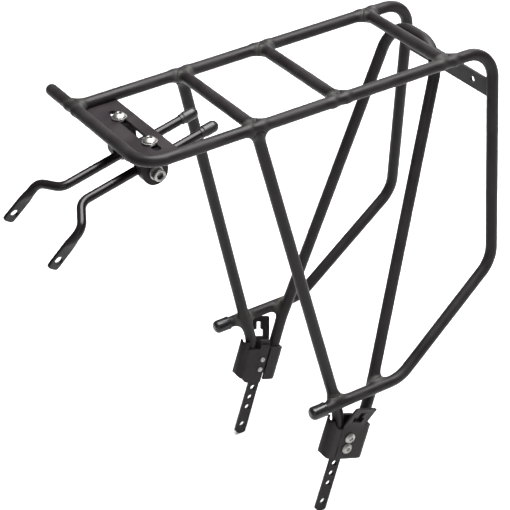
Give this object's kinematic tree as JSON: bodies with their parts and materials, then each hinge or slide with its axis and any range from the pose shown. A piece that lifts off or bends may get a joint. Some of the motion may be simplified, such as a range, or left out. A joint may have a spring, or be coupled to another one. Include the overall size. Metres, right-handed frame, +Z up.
{
  "type": "bicycle rear rack",
  "caption": "Welded tube rear rack for a bicycle, with height strips for the dropouts and sliding, tilting stay arms that fasten to the seat stays.",
  "frame": {"origin": "midway between the two dropout holes, on their common axis", "axes": "+X towards the front of the bicycle, +Y to its left side, +Z up"},
  "size_m": [0.4038, 0.1914, 0.3884],
  "materials": {
    "black_powder_coat": "satin black powder coat over tube, fine orange peel",
    "black_steel_sheet": "matte black coated sheet steel",
    "gloss_black_steel": "glossy black coated steel rod",
    "black_rubber": "satin moulded rubber",
    "black_plastic": "glossy moulded plastic",
    "zinc_steel": "bright zinc plated steel"
  },
  "bodies": {
    "frame": {"left_side_tube": "black_powder_coat", "right_side_tube": "black_powder_coat", "front_crossbar": "black_powder_coat", "middle_crossbar": "black_powder_coat", "rear_crossbar": "black_powder_coat", "left_front_leg": "black_powder_coat", "right_front_leg": "black_powder_coat", "rear_leg_hoop": "black_powder_coat", "stay_plate": "black_steel_sheet", "light_plate": "black_powder_coat", "left_rail_cap": "black_plastic", "right_rail_cap": "black_plastic", "left_clamp_plate": "black_steel_sheet", "left_hook_plate": "black_steel_sheet", "left_height_strip": "black_steel_sheet", "left_clamp_bolts": "zinc_steel", "right_clamp_plate": "black_steel_sheet", "right_hook_plate": "black_steel_sheet", "right_height_strip": "black_steel_sheet", "right_clamp_bolts": "zinc_steel"},
    "left_carriage": {"left_slot_bolt": "zinc_steel", "left_slot_washer": "zinc_steel"},
    "left_block": {"left_clamp_block": "black_steel_sheet"},
    "left_nut": {"left_eye_nut": "black_steel_sheet", "left_cross_washer": "zinc_steel", "left_cross_bolt": "zinc_steel"},
    "left_arm": {"left_stay_arm": "gloss_black_steel", "left_arm_tip": "black_rubber"},
    "right_carriage": {"right_slot_bolt": "zinc_steel", "right_slot_washer": "zinc_steel"},
    "right_block": {"right_clamp_block": "black_steel_sheet"},
    "right_nut": {"right_eye_nut": "black_steel_sheet", "right_cross_washer": "zinc_steel", "right_cross_bolt": "zinc_steel"},
    "right_arm": {"right_stay_arm": "gloss_black_steel", "right_arm_tip": "black_rubber"}
  },
  "joints": [
    {"name": "left_slot_slide", "type": "slide", "parent": "frame", "child": "left_carriage", "axis": [0, 1, 0], "range_m": [-0.003, 0.01]},
    {"name": "left_block_swivel", "type": "hinge", "parent": "left_carriage", "child": "left_block", "pos_m": [0.108, 0.025, 0.36], "axis": [0, 0, 1], "range_deg": [-8, 5]},
    {"name": "left_stay_pitch", "type": "hinge", "parent": "left_block", "child": "left_nut", "pos_m": [0.108, 0.025, 0.3478], "axis": [0, 1, 0], "range_deg": [-20, 15]},
    {"name": "left_stay_slide", "type": "slide", "parent": "left_nut", "child": "left_arm", "axis": [0.9763, 0, -0.2164], "range_m": [-0.005, 0.03]},
    {"name": "right_slot_slide", "type": "slide", "parent": "frame", "child": "right_carriage", "axis": [0, -1, 0], "range_m": [-0.003, 0.01]},
    {"name": "right_block_swivel", "type": "hinge", "parent": "right_carriage", "child": "right_block", "pos_m": [0.108, -0.025, 0.36], "axis": [0, 0, 1], "range_deg": [-5, 8]},
    {"name": "right_stay_pitch", "type": "hinge", "parent": "right_block", "child": "right_nut", "pos_m": [0.108, -0.025, 0.3478], "axis": [0, 1, 0], "range_deg": [-20, 15]},
    {"name": "right_stay_slide", "type": "slide", "parent": "right_nut", "child": "right_arm", "axis": [0.9763, 0, -0.2164], "range_m": [-0.005, 0.03]}
  ]
}
